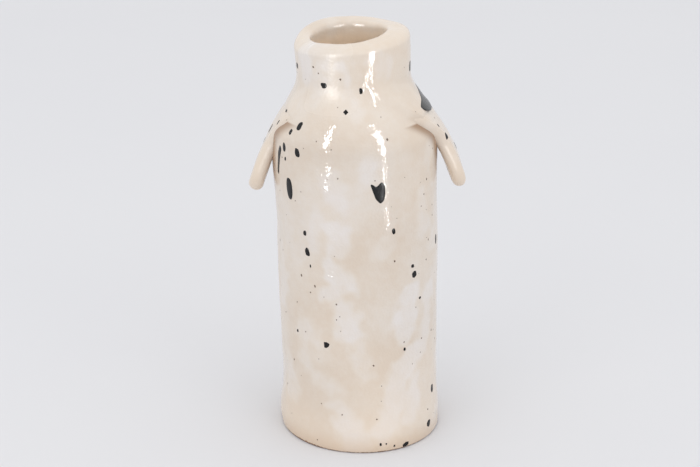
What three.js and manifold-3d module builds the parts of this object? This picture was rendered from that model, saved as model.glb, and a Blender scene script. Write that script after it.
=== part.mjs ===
// Hand-built stoneware bud vase: a bottle body, a short neck with a rolled lip, and two
// clay flaps that droop from the shoulder like folded wings.
// Millimetres, +Z up. The origin is the centre of the underside, +X runs through the
// right-hand flap and the front faces -Y.

import * as THREE from 'three';
import { mergeVertices } from 'three/addons/utils/BufferGeometryUtils.js';
import Module from 'manifold-3d';

// ---- driving dimensions ----

const bodyRadius = 33.9; // outside of the wall at its waist
const footFlare = 1.2; // how far the foot stands out past the waist
const footFlareHeight = 7; // height of the widest part of that flare
const footFlareReach = 8; // height over which it dies away
const upperSwell = 1; // how far the wall swells out again under the shoulder
const upperSwellRise = 66; // height of that swell, up to the shoulder seam
const neckRadius = 23.7; // outside of the neck
const wallThickness = 7; // rolled slab of the wall, the shoulder and the collar

const baseThickness = 8; // slab under the wall
const baseEdgeRadius = 2; // softened lower edge of that slab
const wallHeight = 124; // from the base slab to the shoulder seam
const shoulderRise = 26; // from the wall to the collar
const collarHeight = 8;
const lipHeight = 7.4; // coil rolled onto the collar
const lipWidth = 8; // across the coil's section
const lipCrown = 4; // rise of the coil's rounded top above its straight sides
const lipTilt = 2.2; // how far the lip rises at +X and sinks at -X

const seamCoilSize = 6; // fillet coil pressed into the corner between base and wall
const seamCoilEdge = 1; // thickness left at the top of that coil
const slipGap = 0.3; // clearance left for the slip between luted pieces

const wingWidth = 38; // across the root
const wingTipWidth = 21; // across the free end, before it is rounded off
const wingTaperFrom = 8; // length along the flap at which it starts to narrow
const wingTaperTo = 30; // and at which it has narrowed
const wingThickness = 6.2;
const wingSquareness = 0.45; // 1 is an oval section, 0 a sharp-cornered one
const wingTipRound = 13; // length over which the free end is rounded off
const wingRootRise = 18; // height of the root above the shoulder seam
const wingRootFade = 14; // length over which the root is smoothed out onto the shoulder
const wingRootEdge = 0.55; // share of the thickness left at the root's edge
const wingWrapRoot = 1; // share of the body's roundness that the root follows
const wingWrapTip = 0.3; // and the free end

// Each flap: degrees it is set round from the X axis, how deep its middle line starts under
// the shoulder, its drop from there to the free end, the finger gap between the wall and the
// free end, and how far the free end leans out from the vertical.
const wings = [
  { name: 'wing_right', side: 1, turn: 12, rootDepth: 3, drop: 43.8, standoff: 6.6, tipLean: 12 },
  { name: 'wing_left', side: -1, turn: 0, rootDepth: 3, drop: 45.5, standoff: 4.7, tipLean: 16 },
];

const lean = 3.8; // the top has slumped this far towards -X
const leanPower = 1.3; // more than 1 bends the slump towards the top
const ovality = 0.024; // the foot is this share longer along its long axis
const ovalTurn = -68; // degrees from +X to that long axis

// ---- heights of the seams ----

const shoulderSeam = baseThickness + wallHeight;
const collarSeam = shoulderSeam + shoulderRise;
const lipSeam = collarSeam + collarHeight;
const crownHeight = lipSeam + lipHeight;

// ---- how finely round shapes are cut ----

const aroundSteps = 48; // round the vase
const edgeSteps = 4; // round a softened edge
const baseSideSteps = 2; // up the side of the base slab
const wallSteps = 14; // up the wall
const shoulderSteps = 10; // up the shoulder
const collarSteps = 2; // up the collar
const crownSteps = 10; // over the lip
const coilBackSteps = 3; // up the back of the seam coil
const coilFaceSteps = 6; // down its hollow face
const wingAroundSteps = 24; // round a flap's section
const wingAlongSteps = 20; // from a flap's root to its free end
const wingTipShare = 0.35; // share of those steps spent on the rounded end

// 0 below low, 1 above high, and an S curve between.
const smoothStep = (value, low, high) => THREE.MathUtils.smoothstep(value, low, high);

// Outside of the vase: a waisted cylinder with a flared foot, drawn in to the neck.
function outerRadius(z) {
  const flare = footFlare * Math.exp(-(((z - footFlareHeight) / footFlareReach) ** 2));
  const swell = upperSwell * smoothStep(z, shoulderSeam - upperSwellRise, shoulderSeam);
  const drawnIn = bodyRadius + upperSwell - neckRadius;
  return bodyRadius + flare + swell - drawnIn * smoothStep(z, shoulderSeam, collarSeam);
}

const innerRadius = (z) => outerRadius(z) - wallThickness;

// Points of a radius-over-height curve, from one height to another.
function curveOverHeight(radiusAt, from, to, steps) {
  return Array.from({ length: steps + 1 }, (_, i) => {
    const z = THREE.MathUtils.lerp(from, to, i / steps);
    return new THREE.Vector2(radiusAt(z), z);
  });
}

// Turns a profile of (radius, height) points about Z. A ring's profile closes on itself.
function turned(profile) {
  return new THREE.LatheGeometry(profile, aroundSteps).rotateX(Math.PI / 2);
}

function ring(profile) {
  return turned([...profile, profile[0].clone()]);
}

// The hand of the maker: every piece shares one oval plan and one slump to the side, so
// faces that meet at one height still meet.
function handBuilt(geometry) {
  const position = geometry.attributes.position;
  for (let i = 0; i < position.count; i++) {
    const [x, y, z] = [position.getX(i), position.getY(i), position.getZ(i)];
    const turn = Math.atan2(y, x) - THREE.MathUtils.degToRad(ovalTurn);
    const rise = Math.max(z, 0) / crownHeight;
    const oval = 1 + ovality * Math.max(1 - rise, 0) * Math.cos(2 * turn);
    position.setXYZ(i, x * oval - lean * rise ** leanPower, y * oval, z);
  }
  return geometry;
}

// ---- booleans ----

const wasm = await Module();
wasm.setup();

function solid(geometry) {
  const bare = geometry.clone();
  bare.deleteAttribute('normal');
  bare.deleteAttribute('uv');
  const merged = mergeVertices(bare, 1e-3);
  return new wasm.Manifold(
    new wasm.Mesh({
      numProp: 3,
      vertProperties: merged.attributes.position.array,
      triVerts: new Uint32Array(merged.index.array),
    }),
  );
}

function geometryOf(manifold) {
  const { vertProperties, triVerts } = manifold.getMesh();
  return new THREE.BufferGeometry()
    .setAttribute('position', new THREE.BufferAttribute(vertProperties, 3))
    .setIndex(new THREE.BufferAttribute(triVerts, 1));
}

// ---- the turned pieces ----

// Disc with a softened lower edge; its side follows the flared foot.
function baseSlab() {
  const edge = new THREE.Path();
  const edgeCentre = outerRadius(baseEdgeRadius) - baseEdgeRadius;
  edge.absarc(edgeCentre, baseEdgeRadius, baseEdgeRadius, -Math.PI / 2, 0, false);
  return turned([
    new THREE.Vector2(0, 0),
    ...edge.getPoints(edgeSteps),
    ...curveOverHeight(outerRadius, baseEdgeRadius, baseThickness, baseSideSteps).slice(1),
    new THREE.Vector2(0, baseThickness),
  ]);
}

// Fillet coil: its back follows the wall, its face is a hollow quarter round.
function baseSeamCoil() {
  const back = (z) => innerRadius(z) - slipGap;
  const top = baseThickness + seamCoilSize;
  const corner = back(baseThickness) - seamCoilSize;
  const face = new THREE.Path();
  const faceDepth = back(top) - seamCoilEdge - corner;
  face.absellipse(corner, top, faceDepth, seamCoilSize, 0, -Math.PI / 2, true);
  return ring([
    ...curveOverHeight(back, baseThickness, top, coilBackSteps),
    ...face.getPoints(coilFaceSteps),
  ]);
}

// A length of wall between two seams, the same thickness all the way.
function wallBetween(low, high, steps) {
  return ring([
    ...curveOverHeight(outerRadius, low, high, steps),
    ...curveOverHeight(innerRadius, high, low, steps),
  ]);
}

// Coil with straight sides and a half-round crown, thicker at +X than at -X.
function lipCoil() {
  const inside = neckRadius - lipWidth;
  const middle = neckRadius - lipWidth / 2;
  const crown = new THREE.Path();
  crown.absellipse(middle, crownHeight - lipCrown, lipWidth / 2, lipCrown, 0, Math.PI, false);
  const coil = ring([
    new THREE.Vector2(neckRadius, lipSeam),
    ...crown.getPoints(crownSteps),
    new THREE.Vector2(inside, lipSeam),
  ]);
  const position = coil.attributes.position;
  for (let i = 0; i < position.count; i++) {
    const tilt = (lipTilt * position.getX(i)) / neckRadius;
    const height = position.getZ(i) - lipSeam;
    position.setZ(i, lipSeam + height * (1 + tilt / lipHeight));
  }
  return coil;
}

// ---- the flaps ----

// Everything the flaps lean on: the outside of the vase, stood off by the slip.
function vaseEnvelope() {
  const standoff = (z) => outerRadius(z) + slipGap;
  return solid(
    turned([
      new THREE.Vector2(0, 0),
      ...curveOverHeight(standoff, 0, shoulderSeam, wallSteps),
      ...curveOverHeight(standoff, shoulderSeam, collarSeam, shoulderSteps).slice(1),
      new THREE.Vector2(standoff(lipSeam), crownHeight),
      new THREE.Vector2(0, crownHeight),
    ]),
  );
}

// A flap's middle line in (radius, height): out of the shoulder, then hanging clear of
// the wall, leaning out from the vertical by tipLean at its free end.
function wingLine({ rootDepth, drop, standoff, tipLean }) {
  const rootHeight = shoulderSeam + wingRootRise;
  const root = new THREE.Vector2(outerRadius(rootHeight) - rootDepth, rootHeight);
  const tipRadius = outerRadius(shoulderSeam) + standoff + wingThickness / 2;
  const tip = new THREE.Vector2(tipRadius, rootHeight - drop);
  const back = new THREE.Vector2(0, drop / 2).rotateAround(
    new THREE.Vector2(),
    THREE.MathUtils.degToRad(tipLean),
  );
  return new THREE.QuadraticBezierCurve(root, tip.clone().add(back), tip);
}

// Swells a sine or cosine so that the oval it draws becomes a soft-edged oblong.
const squared = (value) => Math.sign(value) * Math.abs(value) ** wingSquareness;

// A tongue of slab: a ball's grid drawn out along the middle line. Each section is a
// soft-edged oblong, widest at the root, narrower and rounded off at the free end, and
// bent round the vase.
function wingGeometry(shape) {
  const line = wingLine(shape);
  const length = line.getLength();
  const geometry = new THREE.SphereGeometry(1, wingAroundSteps, wingAlongSteps);
  const position = geometry.attributes.position;
  const uv = geometry.attributes.uv;
  for (let i = 0; i < position.count; i++) {
    const along = 1 - uv.getY(i);
    const onTip = Math.max(along - (1 - wingTipShare), 0) / wingTipShare;
    const tipTurn = (onTip * Math.PI) / 2;
    const straight = Math.min(along / (1 - wingTipShare), 1) * (length - wingTipRound);
    const reach = straight + wingTipRound * Math.sin(tipTurn);
    const full = along === 0 ? 0 : 1; // the root is a flat end
    const narrowed = smoothStep(reach, wingTaperFrom, wingTaperTo);
    const slabWidth = THREE.MathUtils.lerp(wingWidth, wingTipWidth, narrowed);
    const width = (slabWidth / 2) * full * Math.cos(tipTurn);
    const smoothed = THREE.MathUtils.lerp(wingRootEdge, 1, smoothStep(reach, 0, wingRootFade));
    const rounded = Math.sqrt(Math.max(Math.cos(tipTurn), 0));
    const thickness = (wingThickness / 2) * full * smoothed * rounded;
    const step = Math.round(uv.getX(i) * wingAroundSteps) % wingAroundSteps; // the seam meets itself
    const turn = (step * 2 * Math.PI) / wingAroundSteps;
    const across = width * squared(Math.cos(turn));
    const out = -thickness * squared(Math.sin(turn));
    const share = reach / length;
    const middle = line.getPointAt(share);
    const heading = line.getTangentAt(share);
    const wrap = THREE.MathUtils.lerp(wingWrapRoot, wingWrapTip, share);
    const roundness = outerRadius(middle.y);
    const sag = wrap * (roundness - Math.sqrt(roundness ** 2 - across ** 2));
    const radius = middle.x - heading.y * out - sag;
    position.setXYZ(i, shape.side * radius, shape.side * across, middle.y + heading.x * out);
  }
  return geometry.rotateZ(THREE.MathUtils.degToRad(shape.turn));
}

function wing(shape, envelope) {
  return geometryOf(solid(wingGeometry(shape)).subtract(envelope));
}

// ---- finishes ----

const bareClay = () => new THREE.MeshStandardMaterial({ color: 0x8a6246, roughness: 0.9 });
const creamGlaze = () => new THREE.MeshStandardMaterial({ color: 0xd9cbbc, roughness: 0.25 });
const milkyGlaze = () => new THREE.MeshStandardMaterial({ color: 0xddd4ca, roughness: 0.25 });
const innerGlaze = () => new THREE.MeshStandardMaterial({ color: 0xc3aa94, roughness: 0.3 });

// ---- assembly ----

const vase = new THREE.Group();

function add(name, geometry, material) {
  const mesh = new THREE.Mesh(handBuilt(geometry), material);
  mesh.name = name;
  vase.add(mesh);
}

add('base_slab', baseSlab(), bareClay());
add('base_seam_coil', baseSeamCoil(), innerGlaze());
add('body_wall', wallBetween(baseThickness, shoulderSeam, wallSteps), creamGlaze());
add('shoulder', wallBetween(shoulderSeam, collarSeam, shoulderSteps), creamGlaze());
add('neck_collar', wallBetween(collarSeam, lipSeam, collarSteps), creamGlaze());
add('rim_coil', lipCoil(), milkyGlaze());

const envelope = vaseEnvelope();
for (const shape of wings) {
  add(shape.name, wing(shape, envelope), milkyGlaze());
}

export default vase;
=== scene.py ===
import math

import bpy
import numpy as np
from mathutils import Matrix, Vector


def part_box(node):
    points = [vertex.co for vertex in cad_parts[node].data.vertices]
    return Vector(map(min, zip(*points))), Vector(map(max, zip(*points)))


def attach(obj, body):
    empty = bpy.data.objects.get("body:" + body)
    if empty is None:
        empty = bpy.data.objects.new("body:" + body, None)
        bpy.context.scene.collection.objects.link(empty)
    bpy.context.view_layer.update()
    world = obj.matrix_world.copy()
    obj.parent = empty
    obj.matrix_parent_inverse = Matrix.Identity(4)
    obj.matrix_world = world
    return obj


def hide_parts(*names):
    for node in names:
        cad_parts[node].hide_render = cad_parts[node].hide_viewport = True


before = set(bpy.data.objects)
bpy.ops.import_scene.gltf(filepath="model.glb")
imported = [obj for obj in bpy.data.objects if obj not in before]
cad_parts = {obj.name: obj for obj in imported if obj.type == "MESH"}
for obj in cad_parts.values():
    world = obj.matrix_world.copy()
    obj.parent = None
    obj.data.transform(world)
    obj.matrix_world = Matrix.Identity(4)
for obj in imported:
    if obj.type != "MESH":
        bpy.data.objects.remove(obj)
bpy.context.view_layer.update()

scene = bpy.context.scene
mm = 0.001

# Heights, in millimetres, of the joints between the clay pieces
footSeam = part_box("body_wall")[0].z / mm
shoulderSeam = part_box("shoulder")[0].z / mm
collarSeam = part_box("neck_collar")[0].z / mm
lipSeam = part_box("rim_coil")[0].z / mm

# The bottle, in millimetres and degrees
bottle = {
    "waist": 33.9,  # outside radius
    "flare": 1.2,  # extra radius just above the foot
    "flareHeight": 7.0,
    "flareReach": 8.0,  # height over which the flare dies away
    "swell": 1.0,  # extra radius under the shoulder
    "swellRise": 66.0,
    "neck": 23.7,  # outside radius
    "wall": 7.0,
    "footEdge": 1.0,  # softened lower edge
    "lipWidth": 8.0,
    "lipSides": 170.2,  # height where the lip starts to round over
    "lipCrown": 2.6,
    "lipInnerRise": 1.3,  # how much higher the crown stands at its inner edge
    "lipOuterRound": 0.85,  # 1 is a quarter oval, less is squarer
    "lipInnerRound": 0.42,
    "mouthShift": -1.2,  # the mouth is this far off the middle of the neck, along X
    "pinch": 1.9,  # the shoulder is flattened this far towards the flaps, and full in front
    "pinchRise": 11.0,  # height of the pinch above the shoulder seam
    "pinchReach": 9.0,
    "height": 174.0,
    "lean": 3.8,  # the top has slumped this far towards -X
    "leanPower": 1.3,
    "ovality": 0.024,
    "ovalTurn": -68.0,
    "columns": 288,
    "outsideStep": 0.76,  # steps between the rings of points
    "insideStep": 1.7,
    "undersideStep": 2.2,
    "footEdgeStep": 0.3,
    "lipStep": 0.5,
    "floorStep": 1.6,
}


def smoothStep(value, low, high):
    # 0 below low, 1 above high, and 3t^2 - 2t^3 between
    t = np.clip((value - low) / (high - low), 0, 1)
    return t * t * (3 - 2 * t)


def bump(x):
    # Cubic B-spline: 2/3 - x^2 + |x|^3 / 2 inside 1, (2 - |x|)^3 / 6 out to 2
    a = np.abs(x)
    return np.where(a < 1, 2 / 3 - a * a + a**3 / 2, np.clip(2 - a, 0, None) ** 3 / 6)


def lumps(turn, run, cell, seed, around=216.0):
    # Random heights on a lattice of cells that closes round the vase, smoothed with B-spline weights
    cells = max(int(round(around / cell)), 3)
    rows = int(440 / cell) + 12
    u = np.mod(turn / (2 * math.pi), 1) * cells
    v = np.asarray(run, float) / cell + 4
    lattice = np.random.default_rng(seed).uniform(-1, 1, (rows, cells))
    iu, iv = np.floor(u).astype(int), np.floor(v).astype(int)
    total = 0
    for j in range(-1, 3):
        for i in range(-1, 3):
            weight = bump(u - iu - i) * bump(v - iv - j)
            total = total + weight * lattice[np.clip(iv + j, 0, rows - 1), (iu + i) % cells]
    return total * 2


def outerRadius(z):
    # Waisted cylinder: a bell-shaped flare near the foot, a slow swell, then an S curve in to the neck
    flare = bottle["flare"] * np.exp(-(((z - bottle["flareHeight"]) / bottle["flareReach"]) ** 2))
    swell = bottle["swell"] * smoothStep(z, shoulderSeam - bottle["swellRise"], shoulderSeam)
    drawnIn = bottle["waist"] + bottle["swell"] - bottle["neck"]
    return bottle["waist"] + flare + swell - drawnIn * smoothStep(z, shoulderSeam, collarSeam)


def innerRadius(z):
    # The outside less the slab, which thickens where the lip is rolled over
    rolled = bottle["lipWidth"] - bottle["wall"]
    return outerRadius(z) - bottle["wall"] - rolled * smoothStep(z, collarSeam, bottle["lipSides"])


flatPoints = 200  # points of the profile across the underside, and across the floor
sidePoints = 1700  # up or down a side
edgePoints = 24  # round the edge of the foot
lipPoints = 240  # and over the lip


def skinProfile():
    # Radius and height along one line: underside, foot edge, outside, a half-oval lip that is squarer
    # and higher at its inner edge, inside, floor
    edge = bottle["footEdge"]
    quarter = np.linspace(-math.pi / 2, 0, edgePoints)
    half = np.linspace(0, math.pi, lipPoints)
    inward = (1 - np.cos(half)) / 2
    power = np.where(half < math.pi / 2, bottle["lipOuterRound"], bottle["lipInnerRound"])
    outward = np.sign(np.cos(half)) * np.abs(np.cos(half)) ** power
    crown = (bottle["lipCrown"] + bottle["lipInnerRise"] * inward) * np.abs(np.sin(half)) ** power
    up = np.linspace(edge, bottle["lipSides"], sidePoints)
    down = np.linspace(bottle["lipSides"], footSeam, sidePoints)
    corner = outerRadius(edge) - edge
    middle = bottle["neck"] - bottle["lipWidth"] / 2
    radius = [
        np.linspace(0, corner, flatPoints)[:-1],
        (corner + edge * np.cos(quarter))[:-1],
        outerRadius(up)[:-1],
        (middle + bottle["lipWidth"] / 2 * outward)[:-1],
        innerRadius(down)[:-1],
        np.linspace(innerRadius(footSeam), 0, flatPoints),
    ]
    height = [
        np.zeros(flatPoints - 1),
        (edge + edge * np.sin(quarter))[:-1],
        up[:-1],
        (bottle["lipSides"] + crown)[:-1],
        down[:-1],
        np.full(flatPoints, footSeam),
    ]
    radius, height = np.concatenate(radius), np.concatenate(height)
    run = np.concatenate([[0], np.cumsum(np.hypot(np.diff(radius), np.diff(height)))])
    return {"radius": radius, "height": height, "run": run, "top": int(np.argmax(height))}


profile = skinProfile()


def runAt(height, inside=False):
    # Length along the profile at which the outside, or the inside, reaches a height
    top = profile["top"]
    heights, runs = profile["height"], profile["run"]
    if inside:
        return np.interp(-np.asarray(height), -heights[top : 1 - flatPoints], runs[top : 1 - flatPoints])
    return np.interp(height, heights[flatPoints - 2 : top], runs[flatPoints - 2 : top])


def place(x, y, z):
    # Every piece shares one oval plan and one slump towards -X
    rise = np.clip(z, 0, None) / bottle["height"]
    turn = np.arctan2(y, x) - math.radians(bottle["ovalTurn"])
    oval = 1 + bottle["ovality"] * np.clip(1 - rise, 0, 1) * np.cos(2 * turn)
    return np.stack([x * oval - bottle["lean"] * rise ** bottle["leanPower"], y * oval, z], -1)


# Waves of the lip's outer and inner edge: how many go round, height, and where each crests
lipWaves = {
    "outer": [(1, 2.2, 24.0), (2, 0.8, -66.0), (3, 0.5, 6.0), (5, 0.12, 20.0)],
    "inner": [(1, 2.0, -19.0), (2, 0.45, -43.0), (3, 0.25, -12.0), (7, 0.1, 35.0)],
}
lipSwelling = {"height": 0.9, "at": 154.0, "spread": 26.0}  # outside, at the left of the back
lipWaveBand = (-3.0, 2.0)  # the waves set in from below the lip's seam to above where it rounds over


def lipWave(turn, inward):
    # The lip's own unevenness: a few cosine waves round each edge and the swelling, shared out between
    # the outer and the inner edge
    edges = []
    for waves in lipWaves.values():
        edges.append(sum(high * np.cos(count * (turn - math.radians(at))) for count, high, at in waves))
    away = (np.degrees(np.mod(turn, 2 * math.pi)) - lipSwelling["at"]) / lipSwelling["spread"]
    outer = edges[0] + lipSwelling["height"] * np.exp(-(away**2))
    return outer + (edges[1] - outer) * inward


# Unevenness left by the hands: cell size, height and seed of each layer of lumps
handMarks = [
    {"cell": 48.0, "height": 0.75, "seed": 3},
    {"cell": 19.0, "height": 0.42, "seed": 7},
    {"cell": 8.5, "height": 0.15, "seed": 11},
    {"cell": 3.4, "height": 0.05, "seed": 19},
    {"cell": 1.9, "height": 0.016, "seed": 23},
]
# The marks die out towards these heights at the foot, and these radii on the underside and the floor
handMarkEnds = {"height": (0.3, 7.0), "radius": (8.0, 16.0)}


def skinPoint(turn, run, lift=0, over=False):
    # Profile point pushed along its own normal by the hand marks, by the clay smeared over the flaps'
    # roots and by lift, turned about Z and placed
    turn, run = np.broadcast_arrays(np.asarray(turn, float), np.asarray(run, float))
    radius = np.interp(run, profile["run"], profile["radius"])
    height = np.interp(run, profile["run"], profile["height"])
    halfStep = 0.5  # the slope is taken over this length to each side
    ahead = [np.interp(run + halfStep, profile["run"], profile[key]) for key in ("radius", "height")]
    behind = [np.interp(run - halfStep, profile["run"], profile[key]) for key in ("radius", "height")]
    dr, dz = ahead[0] - behind[0], ahead[1] - behind[1]
    length = np.maximum(np.hypot(dr, dz), 1e-6)
    nr, nz = dz / length, -dr / length
    push = 0
    for layer in handMarks:
        push = push + layer["height"] * lumps(turn, run, layer["cell"], layer["seed"])
    push = push * smoothStep(height, *handMarkEnds["height"]) * smoothStep(radius, *handMarkEnds["radius"])
    off = (height - shoulderSeam - bottle["pinchRise"]) / bottle["pinchReach"]
    push = push - bottle["pinch"] * np.cos(2 * turn) * np.exp(-(off**2))
    nearFlap = (run < profile["run"][profile["top"]]) & (height > flap["lowest"]) & (height < lipSeam)
    nearFlap = nearFlap & (np.abs(np.cos(turn)) > flap["nearCosine"])
    if nearFlap.any():
        smear = np.zeros(turn.shape)
        smear[nearFlap] = smearedHeight(
            turn[nearFlap], (radius + push * nr)[nearFlap], (height + push * nz)[nearFlap],
            nr[nearFlap], nz[nearFlap], over,
        )
        push = push + smear
    push = push + lift
    radius, height = radius + push * nr, height + push * nz
    inward = np.clip((bottle["neck"] - radius) / bottle["lipWidth"], 0, 1) * (height > shoulderSeam)
    shift = bottle["mouthShift"] * inward * smoothStep(height, collarSeam, bottle["lipSides"])
    low, high = lipSeam + lipWaveBand[0], bottle["lipSides"] + lipWaveBand[1]
    height = height + lipWave(turn, inward) * smoothStep(height, low, high)
    return place(radius * np.cos(turn) + shift, radius * np.sin(turn), height)


# The two flaps, which hang a finger's gap clear of the wall: tongues of slab that grow out of the shoulder
flap = {
    "width": 44.0,
    "tipWidth": 21.0,
    "taper": (8.0, 30.0),  # lengths along the flap between which it narrows
    "thickness": 6.2,
    "rootRise": 18.0,  # height of the root above the shoulder seam
    "rootRun": 0.16,  # share of the line added inside the clay
    "rootThin": 0.3,  # share of the thickness at the root
    "rootFade": 14.0,  # length over which it swells to its full thickness
    "tipRound": 13.0,  # length over which the end is rounded off
    "tipPower": 2.2,
    "wrapRoot": 0.78,  # share of the body's roundness that the root follows
    "wrapTip": 0.3,
    "wrapReach": 42.0,  # height below the root over which one turns into the other
    "wrapStop": 40.0,  # least square of the depth left in the wrap, past which it runs straight on
    "meltHigh": 4.5,  # how softly the clay is smeared together above the joint
    "meltLow": 0.5,  # and in the crease below it
    "meltBand": (6.0, 18.0),  # heights above the shoulder seam between which that changes
    "skinBand": (5.0, 12.0),  # heights between which the wall's skin comes out from under the flap
    "skinUnder": 3.0,  # how far it stays under the flap below them
    "skinOver": 0.25,  # how far it stands over the flap above them
    "smearSteps": 14,
    "creaseTop": 9.0,  # height above the shoulder seam up to which painted shade darkens the glaze
    "creaseNear": 1.5,  # and distances from the flap at which that is full, and gone
    "creaseReach": 7.0,
    "lowest": 100.0,  # all of both flaps lies above this height
    "nearCosine": 0.3,  # and where the cosine of the turn is larger than this
    "linePoints": 150,
    "straightRows": 66,
    "roundRows": 44,
    "columns": 96,
}
# Each flap: degrees it is set round from the X axis, depth of its root under the shoulder, drop to the
# free end, finger gap at the free end, and how far the free end leans out
flapSides = {
    "wing_right": {
        "side": 1, "turn": 12.0, "rootDepth": 4.2, "drop": 43.8, "standoff": 6.8, "tipLean": 12.0,
        "seed": 31,
    },
    "wing_left": {
        "side": -1, "turn": 0.0, "rootDepth": 7.6, "drop": 45.5, "standoff": 4.7, "tipLean": 14.0,
        "seed": 37,
    },
}


def flapLine(shape):
    # Middle line of a flap in radius and height: a three-point Bezier curve out of the shoulder and
    # down, begun a little inside the clay, with the length run, its heading and its outward normal
    rootHeight = shoulderSeam + flap["rootRise"]
    root = np.array([outerRadius(rootHeight) - shape["rootDepth"], rootHeight])
    reach = outerRadius(shoulderSeam) + shape["standoff"] + flap["thickness"] / 2
    tip = np.array([reach, rootHeight - shape["drop"]])
    lean = math.radians(shape["tipLean"])
    back = shape["drop"] / 2 * np.array([-math.sin(lean), math.cos(lean)])
    t = np.linspace(-flap["rootRun"], 1, flap["linePoints"])[:, None]
    points = (1 - t) ** 2 * root + 2 * t * (1 - t) * (tip + back) + t**2 * tip
    run = np.concatenate([[0], np.cumsum(np.hypot(*np.diff(points, axis=0).T))])
    heading = np.gradient(points, run, axis=0)
    heading = heading / np.linalg.norm(heading, axis=1, keepdims=True)
    normal = np.stack([-heading[:, 1], heading[:, 0]], axis=1)
    root = flap["rootRun"] / (1 + flap["rootRun"]) * run[-1]
    return {
        "points": points, "run": run, "heading": heading, "normal": normal, "root": root, "end": run[-1],
    }


for shape in flapSides.values():
    shape["line"] = flapLine(shape)


def flapBend(y, z):
    # How far the flap is wrapped back round the body at y off its middle
    top = shoulderSeam + flap["rootRise"]
    share = smoothStep(z, top - flap["wrapReach"], top)
    wrap = flap["wrapTip"] + (flap["wrapRoot"] - flap["wrapTip"]) * share
    radius = outerRadius(np.clip(z, flap["lowest"], collarSeam))
    return wrap * (radius - np.sqrt(np.clip(radius**2 - y**2, flap["wrapStop"], None)))


def flapHalf(shape, along):
    # Half the thickness: thin where it runs into the shoulder, full below
    root = shape["line"]["root"]
    fade = smoothStep(along, root, root + flap["rootFade"])
    return flap["thickness"] / 2 * (flap["rootThin"] + (1 - flap["rootThin"]) * fade)


def flapWide(shape, along):
    # Half the width: full at the root, narrowing in an S curve to the free end
    narrowed = smoothStep(along - shape["line"]["root"], *flap["taper"])
    return (flap["width"] + (flap["tipWidth"] - flap["width"]) * narrowed) / 2


def flapEdge(shape, along, y):
    # Distance outside the flap's plan, a tongue whose free end is a rounded oval
    half = flapWide(shape, along)
    start = shape["line"]["end"] - flap["tipRound"]
    u = np.clip(along - start, 0, None) / flap["tipRound"]
    v = np.abs(y) / half
    power = flap["tipPower"]
    level = (u**power + v**power) ** (1 / power)
    slopeU = u ** (power - 1) / flap["tipRound"]
    slopeV = v ** (power - 1) / half
    slope = np.hypot(slopeU, slopeV) / np.maximum(level, 1e-6) ** (power - 1)
    return (level - 1) / np.maximum(slope, 1e-3)


def flapDistance(shape, x, y, z):
    # Distance from a point to the flap: found along its middle line, then to a tongue with an edge
    # rounded to half its thickness
    line = shape["line"]
    a = math.radians(shape["turn"])
    x, y = x * math.cos(a) + y * math.sin(a), y * math.cos(a) - x * math.sin(a)
    x, y = x * shape["side"], y * shape["side"]
    x = x + flapBend(y, z)
    dx = x[:, None] - line["points"][None, :, 0]
    dz = z[:, None] - line["points"][None, :, 1]
    near = np.argmin(dx * dx + dz * dz, axis=1)
    offset = np.stack([x, z], axis=1) - line["points"][near]
    along = line["run"][near] + (offset * line["heading"][near]).sum(1)
    off = (offset * line["normal"][near]).sum(1)
    half = flapHalf(shape, along)
    beyond = np.clip(flapEdge(shape, along, y) + half, 0, None)
    return np.hypot(beyond, off) - half


def smearedHeight(turn, radius, height, nr, nz, over):
    # Smooth union of the shoulder and the flaps, found by stepping out along the normal until the
    # smooth minimum of both distances is nil. The melt is wide high up, and below the joint the skin
    # stays under the flap, which leaves a crease. With over, it lies over the flap everywhere
    lift = np.zeros(turn.shape)
    melt = smoothStep(height - shoulderSeam, *flap["meltBand"])
    k = flap["meltLow"] + (flap["meltHigh"] - flap["meltLow"]) * melt
    under = 0 if over else flap["skinUnder"]
    skin = under * (1 - smoothStep(height - shoulderSeam, *flap["skinBand"])) - flap["skinOver"]
    for _ in range(flap["smearSteps"]):
        r, z = radius + lift * nr, height + lift * nz
        x, y = r * np.cos(turn), r * np.sin(turn)
        distance = np.full(turn.shape, np.inf)
        for shape in flapSides.values():
            beside = x * shape["side"] > 0
            distance[beside] = flapDistance(shape, x[beside], y[beside], z[beside]) + skin[beside]
        blend = np.clip(k - np.abs(lift - distance), 0, None) / k
        lift = lift - np.minimum(np.minimum(lift, distance) - blend**2 * k / 4, 0)
    return lift


def addMesh(name, points, faces, uvs, loopNormals=None):
    # Puts points, faces and one UV pair for each face corner into a new object
    mesh = bpy.data.meshes.new(name)
    sizes = np.concatenate([np.full(len(f), f.shape[1]) for f in faces])
    corners = np.concatenate([f.ravel() for f in faces])
    mesh.vertices.add(len(points))
    mesh.vertices.foreach_set("co", (points * mm).astype(np.float32).ravel())
    mesh.loops.add(len(corners))
    mesh.loops.foreach_set("vertex_index", corners.astype(np.int32))
    mesh.polygons.add(len(sizes))
    mesh.polygons.foreach_set("loop_start", (np.cumsum(sizes) - sizes).astype(np.int32))
    mesh.polygons.foreach_set("loop_total", sizes.astype(np.int32))
    mesh.polygons.foreach_set("use_smooth", np.ones(len(sizes), bool))
    mesh.update(calc_edges=True)
    layer = mesh.uv_layers.new(name="OFBake")
    flatUvs = np.concatenate([u.reshape(-1, 2) for u in uvs])
    layer.uv.foreach_set("vector", flatUvs.astype(np.float32).ravel())
    if loopNormals is not None:
        flatNormals = np.concatenate([n.reshape(-1, 3) for n in loopNormals])
        mesh.normals_split_custom_set(flatNormals.tolist())
    piece = bpy.data.objects.new(name, mesh)
    scene.collection.objects.link(piece)
    return piece


uvMargin = 0.004  # clear strip round a piece's UV map


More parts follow.
